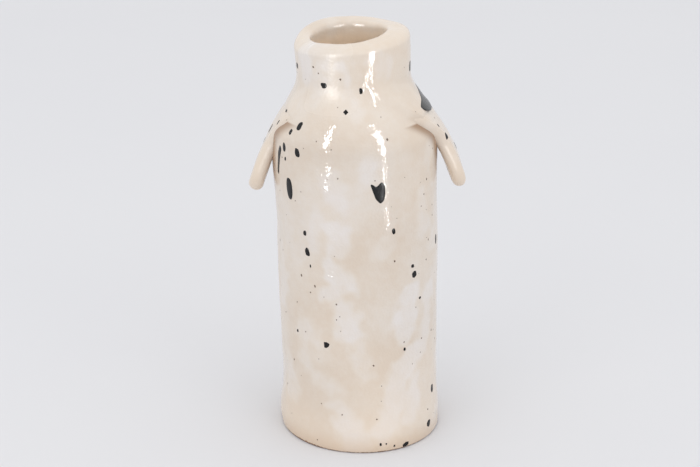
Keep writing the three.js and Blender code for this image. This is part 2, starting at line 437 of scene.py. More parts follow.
def weave(name, grid, normals=None, flatBands=(), poles=False):
    # Faces of a closed grid of points, rows by columns. Columns close on themselves. Rows do too,
    # unless the first and last rows are poles. Flat bands are the cut ends of a piece of wall
    rows, columns = grid.shape[:2]
    index = np.arange(rows * columns).reshape(rows, columns)
    points = grid.reshape(-1, 3)
    if poles:
        points = np.concatenate([grid[:1, 0], grid[1:-1].reshape(-1, 3), grid[-1:, 0]])
        index = index - (columns - 1)
        index[0], index[-1] = 0, (rows - 2) * columns + 1
    bands = rows - 1 if poles else rows
    low = np.arange(bands)
    high = (low + 1) % rows
    nextTo = np.roll(np.arange(columns), -1)
    rowOf = np.stack(np.broadcast_arrays(low[:, None], low[:, None], high[:, None], high[:, None]), -1)
    rowOf = np.broadcast_to(rowOf, (bands, columns, 4))
    columnOf = np.stack([np.arange(columns), nextTo, nextTo, np.arange(columns)], -1)
    columnOf = np.broadcast_to(columnOf, (bands, columns, 4))
    quads = index[rowOf, columnOf]
    u, v = (np.linspace(uvMargin, 1 - uvMargin, count + 1) for count in (columns, bands))
    uv = np.zeros((bands, columns, 4, 2))
    uv[..., [0, 3], 0], uv[..., [1, 2], 0] = u[None, :-1, None], u[None, 1:, None]
    uv[..., [0, 1], 1], uv[..., [2, 3], 1] = v[:-1, None, None], v[1:, None, None]
    split = None
    if normals is not None:
        split = normals[rowOf, columnOf].copy()
        for band in flatBands:
            a, b, c = (grid[rowOf[band, :, k], columnOf[band, :, k]] for k in (0, 1, 2))
            flat = np.cross(b - a, c - a)
            split[band] = (flat / np.linalg.norm(flat, axis=1, keepdims=True))[:, None]
    if poles:
        parts = [(slice(1, -1), [0, 1, 2, 3]), (slice(0, 1), [1, 2, 3]), (slice(-1, None), [0, 1, 2])]
    else:
        parts = [(slice(None), [0, 1, 2, 3])]
    faces = [quads[band][..., k].reshape(-1, len(k)) for band, k in parts]
    uvs = [uv[band][..., k, :] for band, k in parts]
    loopNormals = None if split is None else [split[band][..., k, :] for band, k in parts]
    return addMesh(name, points, faces, uvs, loopNormals), index


def gridNormals(grid):
    # Cross product of the steps round and along a grid that closes round
    around = np.roll(grid, -1, axis=1) - np.roll(grid, 1, axis=1)
    along = np.gradient(grid, axis=0)
    normal = np.cross(around, along)
    return normal / np.maximum(np.linalg.norm(normal, axis=2, keepdims=True), 1e-9)


def finishPiece(piece, material, slot, *nodes):
    # Gives a piece its glaze, fixes it to the body and lets it stand for its plain solids
    piece.data.materials.append(material)
    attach(piece, "root")
    if nodes:
        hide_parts(*nodes)


def paint(piece, name, values):
    # One number for each vertex, for a material to read
    layer = piece.data.attributes.new(name, "FLOAT", "POINT")
    layer.data.foreach_set("value", np.ascontiguousarray(values, np.float32).ravel())


# Strokes of milky glaze laid over the warm one: turn and height at each end, half width, strength
milkyStrokes = [
    (-94, 168, -88, 161, 4.5, 0.75),
    (-116, 159, -117, 153, 4.5, 0.35),
    (-108, 170, -112, 166, 3.0, 0.4),
    (-140, 170, -135, 160, 5.0, 0.6),
    (-60, 168, -50, 164, 5.0, 0.6),
    (-86, 155, -82, 149, 3.0, 0.4),
    (-100, 122, -96, 112, 4.0, 0.5),
    (-76, 128, -78, 122, 3.0, 0.5),
    (-101, 99, -99, 91, 4.5, 0.8),
    (-104, 83, -88, 75, 5.5, 1.0),
    (-96, 78, -101, 72, 4.0, 0.8),
    (-93, 66, -90, 53, 5.5, 0.95),
    (-122, 54, -112, 44, 3.5, 0.5),
    (-124, 36, -98, 28, 3.0, 0.6),
    (-84, 44, -79, 37, 3.5, 0.6),
    (-97, 19, -88, 5, 4.5, 0.9),
    (-45, 68, -50, 52, 5.5, 0.85),
    (-38, 42, -50, 36, 6.5, 0.95),
    (-55, 33, -63, 10, 5.5, 0.95),
    (-42, 30, -47, 14, 5.0, 0.85),
    (-28, 66, -27, 48, 4.0, 0.7),
    (-32, 112, -28, 98, 4.5, 0.6),
    (-60, 100, -66, 88, 3.5, 0.4),
    (-152, 82, -156, 60, 4.0, 0.6),
    (-126, 50, -128, 38, 3.0, 0.5),
    (-146, 32, -140, 22, 4.0, 0.5),
    (-112, 104, -116, 90, 4.0, 0.4),
]
# Seeded strokes behind them, all round the back: lengths and widths are shares of the usual ones
brush = {
    "count": 110, "seed": 41, "length": 12.0, "halfWidth": 4.0, "softness": 2.4,
    "turns": (-20, 200), "heights": (4, 170), "slant": 0.4,
    "lengths": (0.4, 1.4), "widths": (0.6, 1.3), "strengths": (0.15, 0.6),
}
# Faint drift of milkiness, and raggedness of the strokes' edges: height, cell and seed of each layer,
# and how far up its lumps each is read
milkDrift = {
    "base": 0.2, "rise": 150, "layers": [(0.22, 16.0, 61), (0.12, 6.0, 67)],
    "raggedRise": 200, "raggedLayers": [(2.3, 7.0, 53), (1.7, 2.4, 59)],
    "strokes": 0.7,  # share of a full stroke's milkiness
}


def strokeWeight(turn, z, ragged, stroke):
    # How much of a stroke lies here: 1 inside a round-ended bar, falling off over its soft edge
    turn0, z0, turn1, z1, half, strength = stroke
    middle = math.radians((turn0 + turn1) / 2)
    x = np.mod(turn - middle + math.pi, 2 * math.pi) - math.pi
    x = x * bottle["waist"]
    ax, bx = (math.radians(t) - middle for t in (turn0, turn1))
    a = np.array([ax * bottle["waist"], z0])
    b = np.array([bx * bottle["waist"], z1])
    line = b - a
    t = np.clip(((x - a[0]) * line[0] + (z - a[1]) * line[1]) / (line @ line), 0, 1)
    distance = np.hypot(x - a[0] - t * line[0], z - a[1] - t * line[1])
    return strength * smoothStep(half - distance + ragged, -brush["softness"], brush["softness"])


def lumpLayers(turn, run, layers):
    # Sum of layers of smoothed random lumps
    return sum(high * lumps(turn, run, cell, seed) for high, cell, seed in layers)


def milkiness(turn, z):
    # The strongest of the listed strokes and of seeded ones behind them, over a faint drift
    strokes = list(milkyStrokes)
    random = np.random.default_rng(brush["seed"])
    for _ in range(brush["count"]):
        turn0, z0 = random.uniform(*brush["turns"]), random.uniform(*brush["heights"])
        slant, length = random.normal(0, brush["slant"]), random.uniform(*brush["lengths"]) * brush["length"]
        turn1 = turn0 + math.degrees(length * math.sin(slant) / bottle["waist"])
        half = brush["halfWidth"] * random.uniform(*brush["widths"])
        strength = random.uniform(*brush["strengths"])
        strokes.append((turn0, z0, turn1, z0 - length * math.cos(slant), half, strength))
    ragged = lumpLayers(turn, z + milkDrift["raggedRise"], milkDrift["raggedLayers"])
    laid = np.zeros(np.broadcast(turn, z).shape)
    for stroke in strokes:
        laid = np.maximum(laid, strokeWeight(turn, z, ragged, stroke))
    drift = milkDrift["base"] + lumpLayers(turn, z + milkDrift["rise"], milkDrift["layers"])
    return np.clip(drift + milkDrift["strokes"] * laid, 0, 1)


def newMaterial(name):
    # An empty node material
    material = bpy.data.materials.new(name)
    material.use_nodes = True
    tree = material.node_tree
    tree.nodes.clear()
    return material, tree


def addNode(tree, kind, inputs=None, **settings):
    # One node, its settings, and its sockets given as values or as another node's output
    node = tree.nodes.new("ShaderNode" + kind)
    for key, value in settings.items():
        setattr(node, key, value)
    for key, value in (inputs or {}).items():
        if isinstance(value, bpy.types.NodeSocket):
            tree.links.new(value, node.inputs[key])
        else:
            node.inputs[key].default_value = value
    return node


def readLayer(tree, name):
    # A number painted on the piece's vertices
    return addNode(tree, "Attribute", attribute_name=name).outputs["Fac"]


def rescale(tree, value, fromRange=(0, 1), toRange=(0, 1)):
    # Straight-line change of range, held at both ends
    inputs = {0: value, 1: fromRange[0], 2: fromRange[1], 3: toRange[0], 4: toRange[1]}
    return addNode(tree, "MapRange", inputs).outputs[0]


def added(tree, first, second, clamp=False):
    # The sum of two numbers, held between 0 and 1 if clamped
    return addNode(tree, "Math", {0: first, 1: second}, operation="ADD", use_clamp=clamp).outputs[0]


def colourMix(tree, factor, first, second):
    # A blend from the first colour to the second
    node = tree.nodes.new("ShaderNodeMix")
    node.data_type = "RGBA"
    for socket, value in ((node.inputs[0], factor), (node.inputs[6], first), (node.inputs[7], second)):
        if isinstance(value, bpy.types.NodeSocket):
            tree.links.new(value, socket)
        else:
            socket.default_value = value
    return node.outputs[2]


def linear(red, green, blue):
    # Screen colour out of 255 to the linear light that shaders take
    values = [c / 255 for c in (red, green, blue)]
    return tuple(c / 12.92 if c <= 0.04045 else ((c + 0.055) / 1.055) ** 2.4 for c in values) + (1,)


glaze = {
    "warm": linear(221, 206, 190),
    "cream": linear(226, 215, 203),
    "milky": linear(231, 225, 221),
    "inside": linear(250, 229, 204),
    # Brown of the painted shade in the creases, under the flaps and towards the foot
    "paintedShade": linear(150, 112, 76),
    "bareClay": linear(140, 104, 82),
    "creamAt": 0.38,  # milkiness at which the glaze is plain cream
    "paintedShadeDepth": 0.85,  # how far the painted shade browns it in the darkest crease
    "gloss": (0.04, 0.08),
    "satin": 0.3,  # roughness added where the glaze runs thin over an edge
    "bareRough": 0.6,  # and on the bare clay
    "ior": 1.5,
    "cloudScale": 260,
    "cloudiness": 0.14,  # how much the clouds shift the milkiness
    "grainScale": 1100,
    "orangePeel": 0.00006,  # depth in metres
    "footRagged": 0.25,  # how far the grain breaks up the edge of the glaze at the foot
    "footEdge": (0.4, 0.6),
}
noiseSpan = (0.3, 0.7)  # nearly all of a noise lies between these


def glazeMaterial(name):
    # Milkiness picks the glaze from warm to white, warmth tints it where it runs thin, painted shade browns
    # it in the creases, under the flaps and towards the foot, and bareness leaves the clay showing at the
    # foot
    material, tree = newMaterial(name)
    spot = addNode(tree, "TexCoord").outputs["Object"]
    clouds = {"Vector": spot, "Scale": glaze["cloudScale"], "Detail": 5, "Roughness": 0.62}
    cloud = addNode(tree, "TexNoise", clouds).outputs["Fac"]
    grains = {"Vector": spot, "Scale": glaze["grainScale"], "Detail": 0}
    grain = addNode(tree, "TexNoise", grains).outputs["Fac"]
    cloudy = rescale(tree, cloud, noiseSpan, (-glaze["cloudiness"], glaze["cloudiness"]))
    ramp = addNode(tree, "ValToRGB", {"Fac": added(tree, readLayer(tree, "milk"), cloudy, True)})
    ramp.color_ramp.elements[0].color = glaze["warm"]
    ramp.color_ramp.elements[1].color = glaze["milky"]
    ramp.color_ramp.elements.new(glaze["creamAt"]).color = glaze["cream"]
    colour = colourMix(tree, readLayer(tree, "warmth"), ramp.outputs["Color"], glaze["inside"])
    shadeAmount = rescale(tree, readLayer(tree, "paintedShade"), toRange=(0, glaze["paintedShadeDepth"]))
    colour = colourMix(tree, shadeAmount, colour, glaze["paintedShade"])
    edge = rescale(tree, grain, noiseSpan, (-glaze["footRagged"], glaze["footRagged"]))
    bare = rescale(tree, added(tree, readLayer(tree, "bareness"), edge, True), glaze["footEdge"])
    colour = colourMix(tree, bare, colour, glaze["bareClay"])
    sheen = rescale(tree, cloud, noiseSpan, glaze["gloss"])
    thin = rescale(tree, readLayer(tree, "satin"), toRange=(0, glaze["satin"]))
    rough = added(tree, added(tree, sheen, rescale(tree, bare, toRange=(0, glaze["bareRough"]))), thin)
    peel = addNode(tree, "Bump", {"Height": grain, "Distance": glaze["orangePeel"], "Strength": 1.0})
    shader = addNode(
        tree, "BsdfPrincipled",
        {"Base Color": colour, "Roughness": rough, "Normal": peel.outputs[0], "IOR": glaze["ior"]},
    )
    addNode(tree, "OutputMaterial", {"Surface": shader.outputs[0]})
    return material


creamGlaze = glazeMaterial("creamGlaze")
milkyGlaze = glazeMaterial("milkyGlaze")
innerGlaze = glazeMaterial("innerGlaze")
footGlaze = glazeMaterial("footGlaze")

turns = np.linspace(-math.pi, math.pi, bottle["columns"], endpoint=False)


def skinStops():
    # Lengths along the profile of every ring of points, and which ring stands at each joint
    footEdge = bottle["footEdge"]
    outside, inside = bottle["outsideStep"], bottle["insideStep"]
    stops = [
        ("pole", 0.0, 0),
        ("footEdge", runAt(footEdge) - footEdge * math.pi / 2, bottle["undersideStep"]),
        ("foot", runAt(footEdge), bottle["footEdgeStep"]),
        ("footSeam", runAt(footSeam), outside),
        ("shoulderSeam", runAt(shoulderSeam), outside),
        ("collarSeam", runAt(collarSeam), outside),
        ("lipSeam", runAt(lipSeam), outside),
        ("lipTop", profile["run"][profile["top"]], bottle["lipStep"]),
        ("lipSeamInside", runAt(lipSeam, True), bottle["lipStep"]),
        ("collarSeamInside", runAt(collarSeam, True), outside),
        ("shoulderSeamInside", runAt(shoulderSeam, True), inside),
        ("footSeamInside", runAt(footSeam, True), inside),
        ("poleInside", profile["run"][-1], bottle["floorStep"]),
    ]
    runs, ringAt = [0.0], {"pole": 0}
    for (_, start, _), (name, end, step) in zip(stops, stops[1:]):
        count = max(int(math.ceil((end - start) / step)), 2)
        runs.extend(np.linspace(start, end, count + 1)[1:])
        ringAt[name] = len(runs) - 1
    return np.array(runs), ringAt


runs, ringAt = skinStops()
skin = skinPoint(turns[None], runs[:, None])
skinNormals = gridNormals(skin)
skinNormals[0], skinNormals[-1] = (0, 0, -1), (0, 0, 1)
skinHeight = np.interp(runs, profile["run"], profile["height"])[:, None] + 0 * turns[None]
skinInside = (runs > profile["run"][profile["top"]])[:, None] + 0 * turns[None]
skinMilk = milkiness(turns[None], skinHeight)
print("skin worked out:", skin.shape[0], "rings of", skin.shape[1], "points")

# Where the glaze runs warm: a thin patch low at the front left, a line round the foot, a drift all over
# and, from these lengths past the crown of the lip, the inside
warmGlaze = {
    "patch": 0.25, "patchHeights": (2, 34), "patchTurn": -120, "patchCosines": (-0.6, 0.9),
    "line": 0.3, "lineHeights": (1, 9),
    "base": 0.05, "drift": 0.12, "cell": 22.0, "seed": 71,
    "inside": (1, 9),
}
# Bare clay at the foot: heights of its edge, and how uneven that is
bareFoot = {"edge": (0.35, 1.1), "uneven": 0.35, "cell": 9.0, "seed": 73, "row": 10}
# Satin: on the lip from these heights above its seam, inside, and on a dry patch at the neck's left
satinGlaze = {
    "lip": 0.5, "lipRise": (3, 6), "inside": 0.6,
    "dry": 1.6, "dryTurn": -108, "dryWidths": (10, 30), "dryRise": (11, 18),
    "uneven": 5, "cell": 7.0, "seed": 101,
}
milkyLip = {"strength": 0.05, "rise": (1, 6)}
# Painted shade towards the foot: its strength, and the heights over which it fades out
footShade = {"strength": 0.32, "heights": (0.5, 9)}


def skinWarmth(turn, run, height):
    # A drift of lumps, plus smooth steps in height for the foot and in length past the crown
    past = run - profile["run"][profile["top"]]
    inside = smoothStep(past, *warmGlaze["inside"])
    facing = smoothStep(np.cos(turn - math.radians(warmGlaze["patchTurn"])), *warmGlaze["patchCosines"])
    patch = warmGlaze["patch"] * (1 - smoothStep(height, *warmGlaze["patchHeights"])) * facing
    line = warmGlaze["line"] * (1 - smoothStep(height, *warmGlaze["lineHeights"]))
    drift = warmGlaze["base"] + warmGlaze["drift"] * lumps(turn, run, warmGlaze["cell"], warmGlaze["seed"])
    return np.clip(drift + inside + (1 - inside) * (patch + line), 0, 1)


def creaseShade(turn, run):
    # Painted shade: 1 in the crease under a flap, falling off with the distance to the nearest flap
    turn, run = np.broadcast_arrays(turn, run)
    radius = np.interp(run, profile["run"], profile["radius"])
    height = np.interp(run, profile["run"], profile["height"])
    outside = run < profile["run"][profile["top"]]
    outside = outside & (height > flap["lowest"]) & (height < shoulderSeam + flap["creaseTop"])
    shade = np.zeros(turn.shape)
    for shape in flapSides.values():
        near = outside & (np.cos(turn) * shape["side"] > flap["nearCosine"])
        x, y = radius[near] * np.cos(turn[near]), radius[near] * np.sin(turn[near])
        distance = flapDistance(shape, x, y, height[near])
        shade[near] = 1 - smoothStep(distance, flap["creaseNear"], flap["creaseReach"])
    return shade


def skinBareness():
    # 1 below the uneven edge of the glaze at the foot, on the outside only
    uneven = bareFoot["uneven"] * lumps(turns[None], bareFoot["row"], bareFoot["cell"], bareFoot["seed"])
    return (1 - smoothStep(skin[..., 2] + uneven, *bareFoot["edge"])) * (1 - skinInside)


def skinSatin():
    # Smooth step up the lip, an even satin inside, and a ragged dry patch on the neck
    lip = satinGlaze["lip"] * smoothStep(skinHeight - lipSeam, *satinGlaze["lipRise"])
    uneven = lumps(turns[None], skinHeight, satinGlaze["cell"], satinGlaze["seed"])
    away = np.abs(np.degrees(turns[None]) - satinGlaze["dryTurn"]) + satinGlaze["uneven"] * uneven
    dry = 1 - smoothStep(away, *satinGlaze["dryWidths"])
    dry = dry * smoothStep(skinHeight - shoulderSeam, *satinGlaze["dryRise"])
    outside = lip + satinGlaze["dry"] * dry
    return np.clip(outside * (1 - skinInside) + satinGlaze["inside"] * skinInside, 0, satinGlaze["dry"])


skinWarm = skinWarmth(turns[None], runs[:, None], skinHeight)
milkyEdge = milkyLip["strength"] * smoothStep(skinHeight - lipSeam, *milkyLip["rise"]) * (1 - skinWarm)
shadedFoot = footShade["strength"] * (1 - smoothStep(skinHeight, *footShade["heights"])) * (1 - skinInside)
skinLayers = {
    "milk": np.clip(skinMilk + milkyEdge, 0, 1),
    "warmth": skinWarm,
    "bareness": skinBareness(),
    "satin": skinSatin(),
    # Painted shade in the creases under the flaps and towards the foot
    "paintedShade": creaseShade(turns[None], runs[:, None]) + shadedFoot,
}


def paintLayers(piece, index, layers):
    # Paints grids of numbers on a piece, vertex by vertex
    for layer, values in layers.items():
        flat = np.zeros(len(piece.data.vertices))
        flat[index] = values
        paint(piece, layer, flat)


def skinPiece(name, bands, material, slot, flatBands, poles=False):
    # A piece of the skin: its rings outside and then inside, cut flat where it meets its neighbour
    rings = np.concatenate([np.arange(ringAt[a], ringAt[b] + 1) for a, b in bands])
    piece, index = weave(name, skin[rings], skinNormals[rings], flatBands, poles)
    paintLayers(piece, index, {layer: values[rings] for layer, values in skinLayers.items()})
    finishPiece(piece, material, slot, name)
    print("made", name)


# Each piece of the skin: its joints below and above, material and slot
skinPieces = {
    "base_slab": ("pole", "footSeam", footGlaze, "bare_clay"),
    "body_wall": ("footSeam", "shoulderSeam", creamGlaze, "cream_glaze"),
    "shoulder": ("shoulderSeam", "collarSeam", creamGlaze, "cream_glaze"),
    "neck_collar": ("collarSeam", "lipSeam", creamGlaze, "cream_glaze"),
}
for name, (low, high, material, slot) in skinPieces.items():
    poles = low == "pole"
    flatBands = [ringAt[high] - ringAt[low]]
    if not poles:
        flatBands.append(-1)
    skinPiece(name, [(low, high), (high + "Inside", low + "Inside")], material, slot, flatBands, poles)
skinPiece("rim_coil", [("lipSeam", "lipSeamInside")], milkyGlaze, "milky_glaze", [-1])


# The coil pressed into the corner between floor and wall
innerCoil = {
    "size": 6.0, "edge": 0.9, "bedding": 0.9, "sunk": 0.3, "back": 8, "face": 20, "everyTurn": 2,
    "pressed": 0.7, "pressCell": 9.0, "seed": 79,
    # Its layers give it painted shade in the corner between floor and wall
    "layers": {"milk": 0.2, "warmth": 0.9, "bareness": 0, "satin": 0.8, "paintedShade": 0.2},
}


def coilSection():
    # Back up the wall, sunk a little into it, then a hollow quarter round down to the floor
    z = np.linspace(0, innerCoil["size"], innerCoil["back"])
    back = np.stack([innerRadius(footSeam + z) + innerCoil["bedding"], footSeam - innerCoil["sunk"] + z], 1)
    a = np.linspace(0, math.pi / 2, innerCoil["face"])
    inner = innerRadius(footSeam) - innerCoil["size"]
    reach = innerCoil["size"] - innerCoil["edge"]
    face = np.stack([inner + reach * np.cos(a), footSeam + innerCoil["size"] * (1 - np.sin(a))], 1)
    return np.concatenate([back, face])


def makeInnerCoil():
    # The section turned about Z, with its face pushed out and in by lumps, and placed
    section = coilSection()
    r, z = section[:, :1], section[:, 1:]
    turn = turns[None, :: innerCoil["everyTurn"]]
    onFace = (np.arange(len(section)) > innerCoil["back"])[:, None]
    r = r - innerCoil["pressed"] * lumps(turn, z, innerCoil["pressCell"], innerCoil["seed"]) * onFace
    piece, index = weave("base_seam_coil", place(r * np.cos(turn), r * np.sin(turn), z + 0 * r))
    paintLayers(piece, index, innerCoil["layers"])
    finishPiece(piece, innerGlaze, "inner_glaze", "base_seam_coil")
    print("made base_seam_coil")


makeInnerCoil()

# Unevenness of a flap: height and cell of the lumps in its thickness and of the wave it hangs in
flapMarks = {
    "across": 34,  # millimetres across a flap that count as one radian of the lumps
    "thickness": [(0.105, 11.0), (0.035, 4.0)],
    "wave": (0.45, 20.0),
    "milk": (0.25, 10.0),
}
# Glaze of a flap: lengths along it, and distances in from its edge, between which each part changes
flapGlaze = {
    "milk": 0.15, "rooted": (22, 34), "edge": (0.5, 5), "warm": 0.12, "warmEdge": 0.25, "warmFrom": 20,
    # Painted shade on the underside fades out from the length given here towards the free end
    "warmUnder": 0.6, "paintedShadeFrom": 26, "satin": 0.5, "satinEdge": 0.5,
}


def flapPoint(shape, along, y, face, lift=0):
    # A point of the flap at a length along its middle line and y across it. Its half thickness falls
    # off round the edge as a quarter circle, face is 1 outside and -1 underneath
    along, y, face = np.broadcast_arrays(along, y, face)
    line, seed = shape["line"], shape["seed"]
    spot = [np.interp(along, line["run"], line["points"][:, k]) for k in (0, 1)]
    normal = [np.interp(along, line["run"], line["normal"][:, k]) for k in (0, 1)]
    half = flapHalf(shape, along)
    inward = np.clip(-flapEdge(shape, along, y) / half, 0, 1)
    thick = half * np.sqrt(np.clip(1 - (1 - inward) ** 2, 0, 1))
    across = y / flapMarks["across"]
    (broad, broadCell), (fine, fineCell) = flapMarks["thickness"]
    worn = broad * lumps(across + face, along, broadCell, seed)
    worn = worn + fine * lumps(across, along, fineCell, seed + 1)
    wave = flapMarks["wave"][0] * lumps(across, along, flapMarks["wave"][1], seed + 2)
    out = face * thick * (1 + worn) + wave + lift * face
    x = spot[0] + normal[0] * out
    z = spot[1] + normal[1] * out
    x, y = (x - flapBend(y, z)) * shape["side"], y * shape["side"]
    a = math.radians(shape["turn"])
    return place(x * math.cos(a) - y * math.sin(a), x * math.sin(a) + y * math.cos(a), z)


def flapGrid(shape):
    # Rings from the root, hidden in the clay, to the free end: y goes as the cosine round each ring
    end = shape["line"]["end"]
    start = end - flap["tipRound"]
    straight = np.linspace(0, start, flap["straightRows"])
    quarter = np.linspace(0, math.pi / 2, flap["roundRows"] + 1)[1:]
    rounded = start + flap["tipRound"] * np.sin(quarter)
    phi = np.linspace(0, 2 * math.pi, flap["columns"], endpoint=False)[None]
    along = np.concatenate([[0], straight, rounded])[:, None] + 0 * phi
    u = np.clip(along - start, 0, None) / flap["tipRound"]
    half = flapWide(shape, along) * np.clip(1 - u ** flap["tipPower"], 0, 1) ** (1 / flap["tipPower"])
    half[0] = 0
    face = np.sign(np.sin(phi) + 1e-9) + 0 * along
    y = half * np.cos(phi)
    grid = flapPoint(shape, along, y, face)
    grid[0], grid[-1] = grid[0].mean(0), grid[-1].mean(0)
    return grid, along, y, face


def flapLayers(shape, grid, along, y, face):
    # Milky as the shoulder at the root, warm round the edge and underneath, and darkened underneath towards
    # the root by painted shade
    end = shape["line"]["end"]
    high, cell = flapMarks["milk"]
    milk = flapGlaze["milk"] + high * lumps(y / flapMarks["across"] + face, along, cell, shape["seed"] + 3)
    slump = bottle["lean"] * (grid[..., 2] / bottle["height"]) ** bottle["leanPower"]
    turn = np.arctan2(grid[..., 1], grid[..., 0] + slump)
    rooted = 1 - smoothStep(along, *flapGlaze["rooted"])
    milk = milk + rooted * (milkiness(turn, grid[..., 2]) - milk)
    thin = 1 - smoothStep(-flapEdge(shape, along, y), *flapGlaze["edge"])
    below = (face < 0) * (1 - thin)
    warmEdge = flapGlaze["warmEdge"] * thin * smoothStep(along, flapGlaze["warmFrom"], end)
    layers = {
        "milk": milk,
        "warmth": flapGlaze["warm"] + warmEdge + flapGlaze["warmUnder"] * below,
        "bareness": 0 * along,
        "satin": flapGlaze["satin"] + flapGlaze["satinEdge"] * thin,
        "paintedShade": below * (1 - smoothStep(along, flapGlaze["paintedShadeFrom"], end)),
    }
    return {layer: np.clip(values, 0, 1) for layer, values in layers.items()}


for name, shape in flapSides.items():
    grid, along, y, face = flapGrid(shape)
    piece, index = weave(name, grid, poles=True)
    paintLayers(piece, index, flapLayers(shape, grid, along, y, face))
    finishPiece(piece, milkyGlaze, "milky_glaze", name)
    print("made", name)


# Dabs: turn, height, width and height in millimetres, lean to the right in degrees, raggedness
slipDabs = [
    (-157, 161.6, 2.6, 2.3, 0, 0.1),
    (-113, 157.5, 2.9, 2.1, 0, 0.12),
    (-76, 156, 1.6, 2.1, 0, 0.2),
    (-127, 141, 2.7, 3.6, 12, 0.16),
    (-135, 138, 1.7, 2.7, 20, 0.1),
    (-126, 130.6, 2.7, 3.9, 0, 0.1),
    (-140, 130.8, 2.1, 3.8, 0, 0.1),
    (-139, 126, 1.1, 1.6, 0, 0.1),
    (-136, 113.6, 4, 9.5, 0, 0.05),
    (-154.5, 143.8, 1.8, 1.1, 0, 0.1),
    (-4, 160.5, 3, 4.3, 0, 0.1),
    (-123, 96, 1.7, 2.3, 0, 0.12),
    (-121.5, 87.8, 2.4, 3.6, -14, 0.1),
    (-119, 82, 0.7, 1.4, 0, 0.1),
    (-58, 98.8, 1.5, 2.7, -8, 0.1),
    (-42, 81.2, 1.8, 1.5, 0, 0.15),
    (-40.5, 77.3, 2.6, 2.9, 14, 0.14),
    (-8.5, 86.6, 1.8, 4.5, 0, 0.05),
    (-35, 65.8, 1.3, 1.1, 0, 0.15),
    (-133.5, 50.6, 1, 1.3, 0, 0.12),
    (-50, 45, 1.2, 1.5, 12, 0.15),
    (-17, 20, 2.4, 3.6, 0, 0.1),
    (-27, 6.3, 2.8, 3.3, 10, 0.1),
    (-70, 3.8, 0.9, 1.5, 0, 0.12),
    (-66, 3.8, 0.7, 0.8, 0, 0.12),
    (-60, 2.2, 0.9, 0.9, 0, 0.12),
    (8, 120, 1.4, 3.2, 6, 0.1),
    (22, 147, 1.5, 2.0, 0, 0.12),
    (35, 96, 2.0, 3.9, -10, 0.1),
    (48, 131, 1.4, 2.3, 12, 0.12),
    (52, 41, 1.6, 2.4, 0, 0.14),
    (66, 74, 2.3, 4.7, 6, 0.1),
    (71, 158, 1.2, 1.8, 0, 0.12),
    (84, 118, 1.0, 1.5, 0, 0.12),
    (92, 25, 1.4, 2.8, 0, 0.12),
    (104, 138, 1.9, 3.3, -12, 0.12),
    (110, 66, 0.8, 1.4, 0, 0.12),
    (121, 101, 1.6, 2.9, 8, 0.1),
    (137, 34, 1.1, 1.8, 0, 0.12),
    (141, 126, 2.2, 7.2, 0, 0.06),
    (152, 82, 1.4, 2.3, 0, 0.12),
    (164, 150, 1.1, 2.3, 0, 0.12),
    (168, 12, 1.6, 2.4, 10, 0.12),
    (176, 60, 1.0, 1.5, 0, 0.12),
]

# Splashes with an outline of their own: corners as turn and height
slipSplashes = [
    [
        (17, 151.5), (24, 148), (22, 145), (19, 141.4), (4, 140.6), (-6, 141.1), (-14, 142.4), (-19, 144.8),
        (-14, 145.9), (-3, 147.2), (5, 149.2),
    ],
    [
        (-74, 120.2), (-71.5, 119.8), (-70, 118.6), (-68.6, 119.3), (-65.8, 121), (-63.6, 119),
        (-63.4, 115.5), (-64.4, 112.6), (-67, 111.2), (-70.3, 113.4), (-72.2, 116.8),
    ],
    [(-109.2, 49.4), (-106.4, 49.6), (-104.6, 48.8), (-105.6, 47.6), (-107.4, 46.8), (-109, 46.9)],
    [(-92.2, 148), (-90, 149.3), (-87.8, 148), (-90, 146.7)],
    [(-53.6, 1.7), (-51, 2.7), (-48.4, 2.5), (-48.6, 1.2), (-50.8, 0.5), (-53.2, 0.6)],
    [(-143.6, 129.6), (-146, 131), (-149.4, 127.4), (-151.6, 117.4), (-149.4, 117.2), (-146.8, 124)],
]
slip = {
    "lift": 0.13,  # how far a mark stands out of the glaze
    "depth": 0.4,  # and how far it goes in
    "edgeDepth": 0.02,
    "dome": 6,  # power of the dome, flat in the middle
    "around": 40,
    "rings": (0, 0.22, 0.42, 0.6, 0.76, 0.88, 0.96, 1.0),
    "harmonics": range(2, 7),
    "phases": 6.3,
    "roundness": 0.8,  # 1 is an oval, less is squarer
    "seed": 83,
}


def dabOutline(width, height, lean, ragged, seed):
    # An oblong with rounded ends, its edge waved by a few random harmonics, then leaned over
    phi = np.linspace(0, 2 * math.pi, slip["around"], endpoint=False)
    random = np.random.default_rng(seed)
    wave = 0
    for k in slip["harmonics"]:
        wave = wave + random.normal(0, 1 / k) * np.cos(k * phi + random.uniform(0, slip["phases"]))
    x, z = (np.sign(side) * np.abs(side) ** slip["roundness"] for side in (np.cos(phi), np.sin(phi)))
    x, z = width / 2 * x * (1 + ragged * wave), height / 2 * z * (1 + ragged * wave)
    a = math.radians(lean)
    return np.stack([x * math.cos(a) + z * math.sin(a), z * math.cos(a) - x * math.sin(a)], 1)


def splashOutline(corners):
    # Even steps round a polygon of corners, smoothed a little so that no corner is sharp
    corners = np.array(corners, float)
    middle = corners.mean(0)
    radius = outerRadius(middle[1])
    local = (corners - middle) * (math.pi / 180 * radius, 1)
    area = np.roll(local[:, 0], -1) * local[:, 1] - local[:, 0] * np.roll(local[:, 1], -1)
    if area.sum() > 0:
        local = local[::-1]
    loop = np.concatenate([local, local[:1]])
    run = np.concatenate([[0], np.cumsum(np.hypot(*np.diff(loop, axis=0).T))])
    steps = np.linspace(0, run[-1], slip["around"], endpoint=False)
    outline = np.stack([np.interp(steps, run, loop[:, k]) for k in (0, 1)], 1)
    outline = 0.5 * outline + 0.25 * (np.roll(outline, 1, 0) + np.roll(outline, -1, 0))
    return middle, outline


